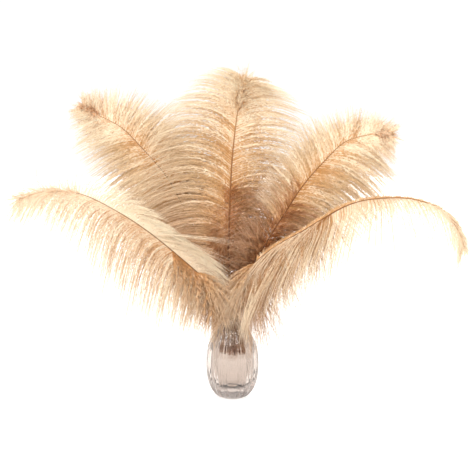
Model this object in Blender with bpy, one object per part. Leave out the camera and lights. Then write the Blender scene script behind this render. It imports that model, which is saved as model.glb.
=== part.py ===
"""Five dyed ostrich feathers standing in a small ribbed bud vase of clear glass.

Lengths are in millimetres until a mesh is made. The origin is the middle of the vase's foot and
+Z is up. The side that is looked at faces -Y, with +X on its right.
"""

import math
import random
from dataclasses import dataclass

import bmesh
import bpy
from mathutils import Vector

MM = 0.001
DOWN = Vector((0.0, 0.0, -1.0))

# Glass vase
FLUTES = 16
FLUTE_DEPTH = 1.1
FLUTES_FROM, FLUTES_TO = 5.0, 92.0
FLUTE_FADE = 10.0
FOOT_RADIUS = 11.5
RIM_HEIGHT = 103.4
VASE_OUTSIDE = (
    (FOOT_RADIUS, 0.0), (16.4, 2.2), (20.8, 6.0), (24.2, 11.4), (27.0, 19.0), (28.6, 29.0),
    (29.0, 39.0), (28.4, 50.0), (26.2, 60.0), (20.9, 71.0), (16.3, 79.0), (14.5, 87.0),
    (14.3, 95.0), (14.9, 101.6),
)
VASE_RIM = ((14.4, 103.0), (13.4, RIM_HEIGHT), (12.4, 103.0))
VASE_INSIDE = (
    (11.9, 101.0), (11.8, 87.0), (13.6, 79.0), (18.4, 70.0), (23.6, 59.0), (25.8, 48.0),
    (26.0, 38.0), (24.6, 27.0), (20.0, 17.4), (11.5, 11.2),
)
BOTTOM_THICKNESS = 9.6

# Feather
QUILL_RADIUS = 1.65
SHAFT_RADIUS = 1.3
TIP_RADIUS = 0.45
QUILL_POINTS = 4
QUILL_STATIONS = 7
LOCK_PAIRS = 24
LOCK_THICKNESS = 1.3
LOCK_RINGS = ((0.26, 0.86, 1.0), (0.56, 0.80, 0.85), (0.82, 0.55, 0.6))
LOCK_WIDEST = 11.0
STEM_SHARE = 0.3
TIP_SPREAD = 1.3
BARB_STEPS = 16
TUFT_LENGTH = 16.0

CREAM = (0.79, 0.60, 0.42, 1.0)
GLASS = (0.93, 0.93, 0.91, 1.0)


@dataclass(frozen=True)
class Vane:
    """One side of a feather, each value read at even steps from its lowest barbs to the tip.

    start is where the lowest barbs grow, as a share of the way from the quill to the tip. lean is
    the angle in degrees between shaft and barb at the root, and comb the angle that it is combed
    to further out, reached at the share combed_by of its length. roll turns the side towards the
    feather's face, and droop is how far the barbs' own weight bends them down.
    """

    start: float
    length: tuple
    lean: tuple
    comb: tuple
    roll: tuple
    droop: tuple
    combed_by: float = 0.5


@dataclass(frozen=True)
class Plume:
    """A feather: the points its shaft passes, the way it faces, and its two vanes."""

    name: str
    shaft: tuple
    face: tuple
    right: Vane
    left: Vane


PLUMES = (
    Plume(
        name="feather_centre",
        shaft=(
            (0.5, 5.5, 46.0), (0.5, 5.5, 66.0), (0.5, 5.2, 86.0), (-0.3, 8.2, 104.0),
            (-1.8, 10.0, 119.0), (-4.4, 13.0, 153.0), (-3.6, 17.0, 193.0), (-2.3, 21.0, 232.5),
            (0.4, 25.0, 272.5), (5.5, 28.0, 315.0), (9.0, 27.0, 334.0), (12.4, 23.0, 347.0),
        ),
        face=((0.0, -1.0, 0.15), (0.0, -1.0, 0.35)),
        right=Vane(
            start=0.10, length=(60.0, 94.0, 108.0, 106.0, 100.0, 80.0, 24.0),
            lean=(64, 62, 61, 60, 57, 46, 28), comb=(72, 70, 69, 67, 64, 60, 50),
            roll=(-6, -8, -8, -8, -7, -4, 0), droop=(1.0, 1.2, 1.25, 1.2, 1.1, 0.9, 0.4),
        ),
        left=Vane(
            start=0.10, length=(60.0, 94.0, 112.0, 114.0, 106.0, 82.0, 24.0),
            lean=(56, 54, 52, 51, 50, 43, 28), comb=(66, 62, 60, 58, 57, 56, 50),
            roll=(8, 9, 10, 10, 8, 4, 0), droop=(1.0, 1.2, 1.3, 1.3, 1.15, 0.9, 0.4),
        ),
    ),
    Plume(
        name="feather_back_left",
        shaft=(
            (-4.0, 1.0, 50.0), (-3.6, 2.4, 66.0), (-3.7, 4.3, 86.0), (-5.6, 5.2, 104.0),
            (-9.5, 7.0, 118.0), (-20.0, 11.5, 143.0), (-37.4, 18.0, 176.8), (-55.8, 24.0, 213.0),
            (-74.3, 29.0, 245.0), (-101.3, 33.0, 276.0), (-124.0, 34.0, 298.5),
            (-149.5, 32.0, 312.5), (-163.5, 28.0, 320.5),
        ),
        face=((0.1, -1.0, 0.05), (0.0, -1.0, 0.2)),
        right=Vane(
            start=0.34, length=(62.0, 78.0, 62.0, 45.0, 18.0), lean=(60, 62, 64, 62, 36),
            comb=(80, 82, 82, 76, 44), roll=(-14, -12, -9, -5, 0), droop=(0.7, 0.6, 0.3, 0.1, 0.0),
        ),
        left=Vane(
            start=0.20, length=(62.0, 80.0, 76.0, 58.0, 20.0), lean=(56, 58, 56, 48, 28),
            comb=(70, 70, 66, 54, 32), roll=(-4, -4, 0, 2, 0), droop=(0.9, 0.8, 0.6, 0.4, 0.2),
        ),
    ),
    Plume(
        name="feather_back_right",
        shaft=(
            (8.5, -6.0, 51.0), (7.0, -4.0, 66.0), (5.0, -1.0, 86.0), (5.8, 2.2, 104.0),
            (10.0, 2.5, 119.0), (20.8, 2.0, 144.6), (37.1, 1.0, 172.6), (55.9, 0.0, 203.0),
            (78.0, -1.0, 237.0), (102.4, -2.0, 264.8), (123.2, -4.0, 284.0), (151.0, -8.0, 292.4),
            (168.5, -13.0, 291.6),
        ),
        face=((-0.1, -1.0, 0.05), (0.0, -1.0, 0.3)),
        right=Vane(
            start=0.32, length=(62.0, 86.0, 90.0, 58.0, 15.0), lean=(50, 50, 48, 38, 30),
            comb=(58, 58, 54, 44, 30), roll=(-4, -3, -2, 0, 0), droop=(1.0, 1.25, 1.25, 0.8, 0.2),
        ),
        left=Vane(
            start=0.34, length=(36.0, 50.0, 48.0, 34.0, 18.0), lean=(52, 56, 56, 54, 34),
            comb=(62, 68, 66, 66, 42), roll=(4, 4, 2, 0, 0), droop=(0.6, 0.35, 0.1, 0.05, 0.0),
        ),
    ),
    Plume(
        name="feather_front_left",
        shaft=(
            (11.0, 5.0, 47.0), (6.5, 3.2, 66.0), (-0.5, -0.3, 86.0), (-8.2, -4.2, 104.0),
            (-15.6, -8.0, 116.0), (-33.2, -15.0, 137.0), (-60.8, -27.0, 163.6),
            (-91.0, -40.0, 190.0), (-122.6, -52.0, 212.4), (-158.4, -62.0, 231.0),
            (-194.4, -68.0, 234.6), (-221.0, -71.0, 227.0),
        ),
        face=((0.35, -0.8, 0.5), (0.0, -0.75, 0.65)),
        right=Vane(
            start=0.03, length=(20.0, 64.0, 48.0, 15.0, 14.0), lean=(100, 98, 94, 66, 28),
            comb=(146, 152, 152, 100, 30), roll=(60, 34, 26, 24, 0), droop=(1.2, 0.1, 0.1, 0.3, 0.3),
            combed_by=0.3,
        ),
        left=Vane(
            start=0.02, length=(56.0, 96.0, 94.0, 56.0, 18.0), lean=(60, 50, 46, 40, 28),
            comb=(96, 88, 80, 62, 34), roll=(0, 6, 8, 6, 0), droop=(1.8, 1.5, 1.4, 1.3, 0.8),
        ),
    ),
    Plume(
        name="feather_front_right",
        shaft=(
            (-9.0, -1.0, 49.0), (-7.0, -3.0, 66.0), (-3.6, -5.2, 86.0), (0.6, -7.8, 104.0),
            (7.0, -11.0, 122.0), (22.4, -17.0, 149.6), (47.1, -28.0, 172.0), (76.0, -39.0, 190.0),
            (118.6, -54.0, 217.2), (149.8, -62.0, 226.2), (189.4, -68.0, 226.4),
            (220.8, -71.0, 214.0), (237.5, -72.0, 192.0), (242.5, -72.0, 174.0),
        ),
        face=((-0.3, -0.8, 0.5), (0.3, -0.75, 0.6)),
        right=Vane(
            start=0.03, length=(64.0, 102.0, 94.0, 50.0, 11.0), lean=(110, 112, 90, 46, 36),
            comb=(146, 150, 120, 54, 36), roll=(10, 14, 16, 10, 0), droop=(1.0, 1.1, 1.2, 1.3, 0.3),
            combed_by=0.25,
        ),
        left=Vane(
            start=0.12, length=(30.0, 44.0, 50.0, 40.0, 11.0), lean=(60, 58, 54, 44, 36),
            comb=(100, 96, 84, 52, 36), roll=(-34, -36, -40, -36, 0),
            droop=(1.6, 1.7, 1.7, 1.5, 0.3),
        ),
    ),
)


def passing(points: tuple, place: float):
    """Value at a place from 0 to 1 on the smooth curve through evenly read points or numbers."""
    scaled = max(0.0, min(1.0, place)) * (len(points) - 1)
    span = min(int(scaled), len(points) - 2)
    rest = scaled - span
    here, there = points[span], points[span + 1]
    before = points[span - 1] if span else here + (here - there)
    after = points[span + 2] if span + 2 < len(points) else there + (there - here)
    pull = (there - before) * 0.5
    push = (after - here) * 0.5
    turn = rest * rest
    return (
        here * (2 * turn * rest - 3 * turn + 1) + pull * (turn * rest - 2 * turn + rest)
        + there * (3 * turn - 2 * turn * rest) + push * (turn * rest - turn)
    )


class Shaft:
    """The quill and shaft of one feather as a smooth curve that is read by its own length."""

    FINE = 240

    def __init__(self, plume: Plume) -> None:
        knots = [Vector(point) for point in plume.shaft]
        self.points = [passing(knots, i / self.FINE) for i in range(self.FINE + 1)]
        self.reach = [0.0]
        for a, b in zip(self.points, self.points[1:]):
            self.reach.append(self.reach[-1] + (b - a).length)
        self.bare = self.reach[round(QUILL_POINTS / (len(knots) - 1) * self.FINE)]
        self.length = self.reach[-1]
        self.faces = [Vector(face) for face in plume.face]

    def frame(self, along: float) -> tuple:
        """Point, direction, side and face of the shaft at a length from the quill's end."""
        index = 1
        while index < self.FINE and self.reach[index] < along:
            index += 1
        a, b = self.points[index - 1], self.points[index]
        share = (along - self.reach[index - 1]) / (self.reach[index] - self.reach[index - 1])
        before, after = self.points[max(0, index - 3)], self.points[min(self.FINE, index + 2)]
        way = (after - before).normalized()
        face = self.faces[0].lerp(self.faces[1], along / self.length)
        face = (face - way * face.dot(way)).normalized()
        return a.lerp(b, share), way, way.cross(face), face

    def grown(self, place: float) -> float:
        """Length from the quill's end to a place from 0 to 1 between quill and tip."""
        return self.bare + (self.length - self.bare) * place


def barb_path(shaft: Shaft, vane: Vane, side: int, place: float) -> list:
    """Points of one barb from its root on the shaft to its tip."""
    root, way, across, face = shaft.frame(shaft.grown(place))
    u = (place - vane.start) / (1.0 - vane.start)
    lean, comb, roll = (math.radians(passing(v, u)) for v in (vane.lean, vane.comb, vane.roll))
    droop = passing(vane.droop, u)
    step = passing(vane.length, u) / BARB_STEPS
    outward = across * (side * math.cos(roll)) + face * math.sin(roll)
    points = [root]
    for i in range(BARB_STEPS):
        t = (i + 0.5) / BARB_STEPS
        combed = min(1.0, t / vane.combed_by)
        angle = lean + (comb - lean) * combed * combed * (3 - 2 * combed)
        heading = way * math.cos(angle) + outward * math.sin(angle)
        heading += DOWN * (droop * t)
        points.append(points[-1] + heading.normalized() * step)
    return points


def lock_rings(paths: list, index: int, side: int) -> list:
    """Corner points of one lock's rings, each lock as wide as its neighbours leave room for."""
    path = paths[index]
    below, above = paths[max(0, index - 1)], paths[min(len(paths) - 1, index + 1)]
    rings = []
    for share, width, thickness in LOCK_RINGS:
        at = round(share * BARB_STEPS)
        heading = (path[at + 1] - path[at - 1]).normalized()
        room = (above[at] - below[at]) / (2 if 0 < index < len(paths) - 1 else 1)
        room -= heading * room.dot(heading)
        stem = (path[at] - path[0]).length * STEM_SHARE
        half = room.normalized() * min(room.length * width * 0.5, LOCK_WIDEST * 0.5, stem)
        out = heading.cross(half).normalized() * (side * LOCK_THICKNESS * thickness * 0.5)
        middle = path[at]
        rings.append([middle - half + out, middle + half + out, middle + half - out, middle - half - out])
    return rings


def shaft_ring(bm: bmesh.types.BMesh, frame: tuple, radius: float) -> list:
    """Six corners round the shaft: right front, right back, back, left back, left front, front."""
    point, _, across, face = frame
    corners = []
    for turn in (30, -30, -90, -150, 150, 90):
        angle = math.radians(turn)
        offset = across * math.cos(angle) + face * math.sin(angle)
        corners.append(bm.verts.new((point + offset * radius) * MM))
    return corners


def add_lock(bm: bmesh.types.BMesh, root: list, rings: list, tip: Vector) -> None:
    """Draws one lock out of the gap that its root leaves in the shaft's side."""
    last = root
    for ring in rings:
        corners = [bm.verts.new(point * MM) for point in ring]
        for i in range(4):
            bm.faces.new((last[i], last[(i + 1) % 4], corners[(i + 1) % 4], corners[i]))
        last = corners
    end = bm.verts.new(tip * MM)
    for i in range(4):
        bm.faces.new((last[i], last[(i + 1) % 4], end))


def build_plume(plume: Plume) -> bpy.types.Object:
    """One feather grown as a single piece: quill, shaft and a row of locks down each side."""
    shaft = Shaft(plume)
    spread = random.Random(plume.name)
    sides = []
    for vane, side in ((plume.right, 1), (plume.left, -1)):
        first = math.ceil(vane.start * LOCK_PAIRS)
        places = [(i + 0.5) / LOCK_PAIRS for i in range(first, LOCK_PAIRS)]
        paths = [barb_path(shaft, vane, side, max(place, vane.start)) for place in places]
        sides.append((side, first, paths))

    bm = bmesh.new()
    marks = [shaft.bare * i / QUILL_STATIONS for i in range(QUILL_STATIONS)]
    marks += [shaft.grown(i / LOCK_PAIRS) for i in range(LOCK_PAIRS + 1)]
    rings = []
    for i, mark in enumerate(marks):
        share = max(0.0, (mark - shaft.bare) / (shaft.length - shaft.bare))
        radius = QUILL_RADIUS if i < QUILL_STATIONS else SHAFT_RADIUS + (TIP_RADIUS - SHAFT_RADIUS) * share
        rings.append(shaft_ring(bm, shaft.frame(mark), radius))
    for i, (low, high) in enumerate(zip(rings, rings[1:])):
        pair = i - QUILL_STATIONS
        for corner in range(6):
            following = (corner + 1) % 6
            grown = next((s for s in sides if corner == (0 if s[0] > 0 else 3) and pair >= s[1]), None)
            if grown is None:
                bm.faces.new((low[corner], low[following], high[following], high[corner]))
                continue
            side, first, paths = grown
            front, back = (corner, following) if side > 0 else (following, corner)
            root = [low[front], high[front], high[back], low[back]]
            path = paths[pair - first]
            tip = path[-1] + (path[-1] - path[-2]) * spread.uniform(-TIP_SPREAD, TIP_SPREAD)
            add_lock(bm, root, lock_rings(paths, pair - first, side), tip)

    bm.faces.new(rings[0])
    point, way, _, _ = shaft.frame(shaft.length)
    tuft = bm.verts.new((point + way * TUFT_LENGTH) * MM)
    for corner in range(6):
        bm.faces.new((rings[-1][corner], rings[-1][(corner + 1) % 6], tuft))
    bmesh.ops.recalc_face_normals(bm, faces=bm.faces)
    return finished(bm, plume.name, feather_material())


def build_vase() -> bpy.types.Object:
    """The vase: its profile turned once round, then the flutes pressed in from outside."""
    profile = ((0.0, 0.0),) + VASE_OUTSIDE + VASE_RIM + VASE_INSIDE + ((0.0, BOTTOM_THICKNESS),)
    bm = bmesh.new()
    points = [bm.verts.new((radius * MM, 0.0, height * MM)) for radius, height in profile]
    edges = [bm.edges.new(pair) for pair in zip(points, points[1:])]
    steps = 2 * FLUTES
    bmesh.ops.spin(
        bm, geom=points + edges, cent=(0, 0, 0), axis=(0, 0, 1), angle=math.tau, steps=steps,
        use_merge=True,
    )
    bmesh.ops.remove_doubles(bm, verts=bm.verts, dist=0.00001)
    outside = {round(height * MM, 7): radius * MM for radius, height in VASE_OUTSIDE}
    for vert in bm.verts:
        radius = outside.get(round(vert.co.z, 7))
        height = vert.co.z / MM
        turned = math.atan2(vert.co.y, vert.co.x) / math.tau * steps
        if radius is None or math.hypot(vert.co.x, vert.co.y) < radius - MM or round(turned) % 2 == 0:
            continue
        edge = min(height - FLUTES_FROM, FLUTES_TO - height) / FLUTE_FADE
        pressed = FLUTE_DEPTH * MM * max(0.0, min(1.0, edge))
        vert.co.xy *= (radius - pressed) / radius
    bmesh.ops.recalc_face_normals(bm, faces=bm.faces)
    return finished(bm, "glass_vase", glass_material())


def finished(bm: bmesh.types.BMesh, name: str, material: bpy.types.Material) -> bpy.types.Object:
    """Object made of the finished mesh, shaded smooth over its gentle corners."""
    mesh = bpy.data.meshes.new(name)
    bm.to_mesh(mesh)
    bm.free()
    mesh.shade_smooth()
    mesh.set_sharp_from_angle(angle=math.radians(40))
    mesh.materials.append(material)
    piece = bpy.data.objects.new(name, mesh)
    bpy.context.scene.collection.objects.link(piece)
    return piece


def principled(name: str, colour: tuple, roughness: float) -> tuple:
    """Material and its Principled shader, made once."""
    material = bpy.data.materials.get(name) or bpy.data.materials.new(name)
    material.use_nodes = True
    shader = material.node_tree.nodes["Principled BSDF"]
    shader.inputs["Base Color"].default_value = colour
    shader.inputs["Roughness"].default_value = roughness
    shader.inputs["Metallic"].default_value = 0.0
    return material, shader


def feather_material() -> bpy.types.Material:
    """Dyed ostrich barbs: a soft, warm champagne."""
    return principled("champagne_barbs", CREAM, 0.8)[0]


def glass_material() -> bpy.types.Material:
    """Clear pressed glass."""
    material, shader = principled("clear_glass", GLASS, 0.03)
    shader.inputs["Transmission Weight"].default_value = 1.0
    shader.inputs["IOR"].default_value = 1.5
    return material


def main() -> None:
    """Clears the scene and builds the vase and the feathers that it holds."""
    for old in list(bpy.data.objects):
        bpy.data.objects.remove(old)
    build_vase()
    for plume in PLUMES:
        build_plume(plume)


main()
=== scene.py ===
"""Looks of five dyed ostrich feathers that stand in a small ribbed bud vase of clear glass.

Sizes are in millimetres until a mesh is made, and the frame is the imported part's own: the origin is
the middle of the vase's foot, +Z is up, and the side that is looked at faces -Y.
"""

import logging
import math
from dataclasses import dataclass, field
from enum import Enum

import bmesh
import bpy
import numpy as np
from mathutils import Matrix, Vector

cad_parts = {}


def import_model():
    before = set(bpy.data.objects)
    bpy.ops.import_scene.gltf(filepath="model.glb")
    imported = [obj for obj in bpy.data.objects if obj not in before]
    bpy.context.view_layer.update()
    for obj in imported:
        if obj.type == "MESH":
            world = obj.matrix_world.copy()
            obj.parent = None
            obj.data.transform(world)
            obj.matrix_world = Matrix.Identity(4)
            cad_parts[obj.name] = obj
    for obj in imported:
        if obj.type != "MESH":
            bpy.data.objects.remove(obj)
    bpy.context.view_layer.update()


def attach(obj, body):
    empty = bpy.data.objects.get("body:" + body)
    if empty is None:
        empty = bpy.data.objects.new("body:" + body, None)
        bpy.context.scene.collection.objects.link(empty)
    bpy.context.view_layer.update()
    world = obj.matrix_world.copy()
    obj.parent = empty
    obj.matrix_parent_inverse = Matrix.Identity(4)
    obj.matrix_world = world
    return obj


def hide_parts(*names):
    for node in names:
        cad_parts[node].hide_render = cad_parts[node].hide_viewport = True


MM = 0.001
DOWN = np.array((0.0, 0.0, -1.0))
# Name of the map through which a piece's colours can be baked, where the piece brings one.
BAKE_MAP = "OFBake"
# A barbule's two corners on its barb stand this far apart in that map.
BAKE_APART = 2.0 / 512
BARB_FACTS = "barb"

log = logging.getLogger("feathers")


class Side(Enum):
    """The two sides of a shaft, as the sign of its across direction."""

    RIGHT = 1
    LEFT = -1


# Small helpers


def linear(hex_colour: str) -> tuple:
    """Turns an sRGB hex colour into linear red, green, blue and alpha.

    Args:
        hex_colour: Six hex digits after a hash.

    Returns:
        Four numbers from 0 to 1.
    """
    parts = [int(hex_colour[i:i + 2], 16) / 255 for i in (1, 3, 5)]
    return tuple(p / 12.92 if p <= 0.04045 else ((p + 0.055) / 1.055) ** 2.4 for p in parts) + (1.0,)


def add_node(tree: bpy.types.NodeTree, kind: str, settings: dict, links: dict) -> bpy.types.Node:
    """Adds a node with its settings and its incoming links.

    Args:
        tree: The material's or world's node tree.
        kind: Blender's name for the kind of node.
        settings: Values by the name or number of an input, or by the name of a property.
        links: Outputs of other nodes by the name or number of the input that they feed.

    Returns:
        The new node.
    """
    made = tree.nodes.new(kind)
    for key, value in settings.items():
        if isinstance(key, int) or key in made.inputs:
            made.inputs[key].default_value = value
        else:
            setattr(made, key, value)
    for key, source in links.items():
        tree.links.new(source, made.inputs[key])
    return made


def set_stops(ramp: bpy.types.Node, stops: tuple) -> None:
    """Gives a colour ramp its stops, each a place from 0 to 1 and an sRGB hex colour."""
    elements = ramp.color_ramp.elements
    while len(elements) < len(stops):
        elements.new(1.0)
    for element, (place, colour) in zip(elements, stops):
        element.position = place
        element.color = linear(colour)


def new_material(name: str) -> tuple:
    """Makes a material and gives it back with its node tree and its Principled shader."""
    material = bpy.data.materials.new(name)
    material.use_nodes = True
    return material, material.node_tree, material.node_tree.nodes["Principled BSDF"]


def unit(vectors: np.ndarray) -> np.ndarray:
    """Scales the vectors in the last axis to a length of one."""
    return vectors / np.maximum(np.linalg.norm(vectors, axis=-1, keepdims=True), 1e-9)


def smooth(value: np.ndarray) -> np.ndarray:
    """Eases a value from 0 to 1 with no slope at either end."""
    held = np.clip(value, 0.0, 1.0)
    return held * held * (3.0 - 2.0 * held)


def passing(values: tuple, place: np.ndarray) -> np.ndarray:
    """Reads the smooth curve through evenly spaced values.

    Args:
        values: Numbers or points, at even steps from 0 to 1.
        place: Where to read, from 0 to 1.

    Returns:
        One number or point for each place.
    """
    knots = np.asarray(values, dtype=float)
    scaled = np.clip(place, 0.0, 1.0) * (len(knots) - 1)
    span = np.minimum(scaled.astype(int), len(knots) - 2)
    rest = scaled - span
    if knots.ndim > 1:
        rest = rest[:, None]
    padded = np.concatenate([[2 * knots[0] - knots[1]], knots, [2 * knots[-1] - knots[-2]]])
    before, here, there, after = (padded[span + k] for k in range(4))
    pull, push = (there - before) / 2, (after - here) / 2
    square, cube = rest ** 2, rest ** 3
    return (
        here * (2 * cube - 3 * square + 1) + pull * (cube - 2 * square + rest)
        + there * (3 * square - 2 * cube) + push * (cube - square)
    )


def ripple(rng: np.random.Generator, place: np.ndarray, waves: float) -> np.ndarray:
    """Gives a slow random swell along the shaft, mostly between -1 and 1."""
    total = np.zeros_like(place)
    for share in (0.6, 1.0, 1.7):
        total += np.sin(place * waves * share * math.tau + rng.uniform(0, math.tau)) / 1.7
    return total


def group_numbers(rng: np.random.Generator, count: int, smallest: int, largest: int) -> np.ndarray:
    """Splits a row of barbs into neighbouring groups of random size and numbers them."""
    sizes = rng.integers(smallest, largest + 1, size=count)
    return np.repeat(np.arange(count), sizes)[:count]


# The feathers' forms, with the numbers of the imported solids


@dataclass(frozen=True)
class Vane:
    """One side of a feather, each value read at even steps from its lowest barbs to the tip.

    start is where the lowest barbs grow, as a share of the way from the quill to the tip. lean is
    the angle in degrees between shaft and barb at the root, and comb the angle that it is combed
    to further out, reached at the share combed_by of its length. roll turns the side towards the
    feather's face, and droop is how far the barbs' own weight bends them down. fullness is how
    densely they grow, loose how untidily they lie, pale how much lighter they are, pink how far
    the dye has turned pink, and fluff how long their barbules are.
    """

    start: float
    length: tuple
    lean: tuple
    comb: tuple
    roll: tuple
    droop: tuple
    combed_by: float = 0.5
    fullness: tuple = (1.0, 1.0)
    loose: float = 1.0
    pale: float = 0.0
    pink: float = 0.0
    fluff: float = 1.0


@dataclass(frozen=True)
class Down:
    """Loose downy barbs round a part of a shaft.

    low and high are lengths along the shaft from the quill's end, or back from the tip where they
    are negative. lean is the angle to the shaft in degrees, sway how much that varies, and curl how
    much further a barb turns away from the shaft towards its end. facing is the side of the shaft
    that most of them grow on, with 0 its face, and spread how far round they reach. droop is how
    far their own weight bends them down, rust_and_shade how reddish-brown they are, as their own
    rust colour or as painted shade, pale how much lighter they are and fluff how long their
    barbules are. bound tells that they stay inside the glass.
    """

    low: float
    high: float
    count: int
    length: float
    lean: float
    sway: float
    facing: float
    spread: float
    droop: float
    rust_and_shade: float
    pale: float = 0.0
    fluff: float = 1.0
    curl: float = 18.0
    bound: bool = False


@dataclass(frozen=True)
class Plume:
    """A feather: the points its shaft passes, the way it faces, its two vanes and its down.

    blush is how pink its tip is, painted_base_shade how much painted shade darkens and browns its
    lowest barbs, and stem how stout its shaft is.
    """

    name: str
    shaft: tuple
    face: tuple
    right: Vane
    left: Vane
    down: tuple = ()
    blush: float = 0.0
    painted_base_shade: float = 0.1
    stem: float = 0.7
    seed: int = 1


# This down in the glass is made paler: painted light standing in for the light that reaches it through the
# glass. Its reddish brown is its own colour.
QUILL_DOWN = Down(
    low=0.5, high=28.0, count=110, length=14.0, lean=40.0, sway=30.0, facing=0.0, spread=180.0,
    droop=0.1, rust_and_shade=0.65, pale=0.9, bound=True,
)
NECK_DOWN = Down(
    low=74.0, high=112.0, count=300, length=52.0, lean=146.0, sway=11.0, facing=0.0, spread=80.0,
    droop=1.0, rust_and_shade=0.1,
)
TUFT = Down(
    low=-20.0, high=-0.5, count=80, length=22.0, lean=24.0, sway=14.0, facing=0.0, spread=180.0,
    droop=0.25, rust_and_shade=0.0, pale=0.2,
)

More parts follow.
